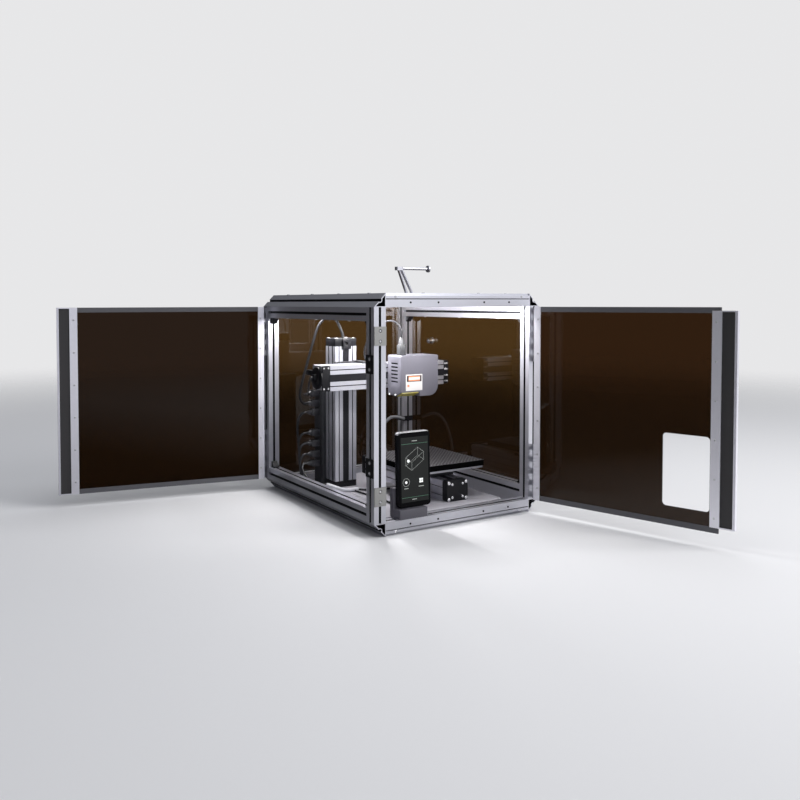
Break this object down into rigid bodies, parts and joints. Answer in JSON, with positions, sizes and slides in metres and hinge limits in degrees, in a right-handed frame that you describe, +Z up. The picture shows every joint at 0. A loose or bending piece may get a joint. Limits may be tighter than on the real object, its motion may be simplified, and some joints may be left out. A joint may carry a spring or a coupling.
{
  "type": "three-d printer",
  "caption": "Desktop fabrication machine with a laser toolhead on a cantilevered axis, in a framed amber enclosure with open doors and an upright touchscreen",
  "frame": {"origin": "Centre of the enclosure's footprint, on the surface it stands on", "axes": "+X points right seen from the front, +Y from the front door side to the back, +Z up"},
  "size_m": [1.1073, 1.0467, 0.597],
  "materials": {
    "anodised_silver": "satin",
    "anodised_dark": "satin",
    "charcoal_metal": "matte",
    "amber_acrylic": "gloss",
    "grey_floor": "satin",
    "base_white": "satin",
    "black_plastic": "matte",
    "grey_plastic": "matte",
    "seal_grey": "matte",
    "screw_steel": "satin",
    "rubber_black": "matte",
    "cable_black": "matte",
    "shield_acrylic": "gloss",
    "screen_glass": "gloss"
  },
  "bodies": {
    "frame": {"front_left_post": "anodised_silver", "front_right_post": "anodised_silver", "back_left_post": "anodised_silver", "back_right_post": "anodised_silver", "left_rails": "anodised_silver", "right_rails": "anodised_silver", "top_side_edges": "anodised_silver", "bottom_side_edges": "anodised_silver", "front_edges": "anodised_silver", "back_edges": "anodised_silver", "top_panel": "amber_acrylic", "floor_panel": "grey_floor", "back_panel": "amber_acrylic", "right_panel": "amber_acrylic", "corner_brackets": "black_plastic", "frame_screws": "screw_steel", "strike_plates": "anodised_dark", "hinge_frame_leaves": "anodised_dark", "hinge_pins": "screw_steel", "base_plate": "base_white", "base_feet": "rubber_black", "z_module": "anodised_silver", "y_module": "anodised_silver", "cover_strips": "black_plastic", "module_end_caps": "black_plastic", "controller": "charcoal_metal", "cable_plugs": "black_plastic", "fixed_cables": "cable_black", "touchscreen_body": "black_plastic", "touchscreen_glass": "screen_glass", "touchscreen_stand": "black_plastic", "spool_holder": "anodised_silver", "panel_fitting": "screw_steel"},
    "left_door": {"left_door_panel": "amber_acrylic", "left_door_seals": "seal_grey", "left_door_hinge_strip": "anodised_silver", "left_door_handle": "anodised_silver", "left_door_grip": "charcoal_metal", "left_door_screws": "screw_steel", "left_door_hinges": "anodised_dark"},
    "front_door": {"front_door_panel": "amber_acrylic", "front_door_seals": "seal_grey", "front_door_hinge_strip": "anodised_silver", "front_door_handle": "anodised_silver", "front_door_grip": "charcoal_metal", "front_door_screws": "screw_steel", "front_door_hinges": "anodised_dark"},
    "x_axis": {"z_carriage": "charcoal_metal", "x_module": "anodised_silver", "x_cover_strip": "black_plastic", "x_end_caps": "black_plastic", "x_motor_cable": "cable_black"},
    "toolhead": {"x_carriage": "charcoal_metal", "toolhead_case": "grey_plastic", "toolhead_shield": "shield_acrylic", "toolhead_plug": "grey_plastic", "toolhead_cable": "cable_black"},
    "bed": {"y_carriage": "charcoal_metal", "bed_platform": "anodised_silver", "bed_plate": "charcoal_metal"}
  },
  "joints": [
    {"name": "left_door_hinge", "type": "hinge", "parent": "frame", "child": "left_door", "pos_m": [-0.244, 0.252, 0.26], "axis": [0, 0, 1], "range_deg": [-36, 99]},
    {"name": "front_door_hinge", "type": "hinge", "parent": "frame", "child": "front_door", "pos_m": [0.214, -0.282, 0.26], "axis": [0, 0, 1], "range_deg": [-107, 28]},
    {"name": "z_slide", "type": "slide", "parent": "frame", "child": "x_axis", "axis": [0, 0, 1], "range_m": [-0.138, 0.028], "deforming": ["x_motor_cable"]},
    {"name": "x_slide", "type": "slide", "parent": "x_axis", "child": "toolhead", "axis": [1, 0, 0], "range_m": [-0.14, 0.07], "deforming": ["toolhead_cable"]},
    {"name": "y_slide", "type": "slide", "parent": "frame", "child": "bed", "axis": [0, 1, 0], "range_m": [0, 0.13]}
  ]
}
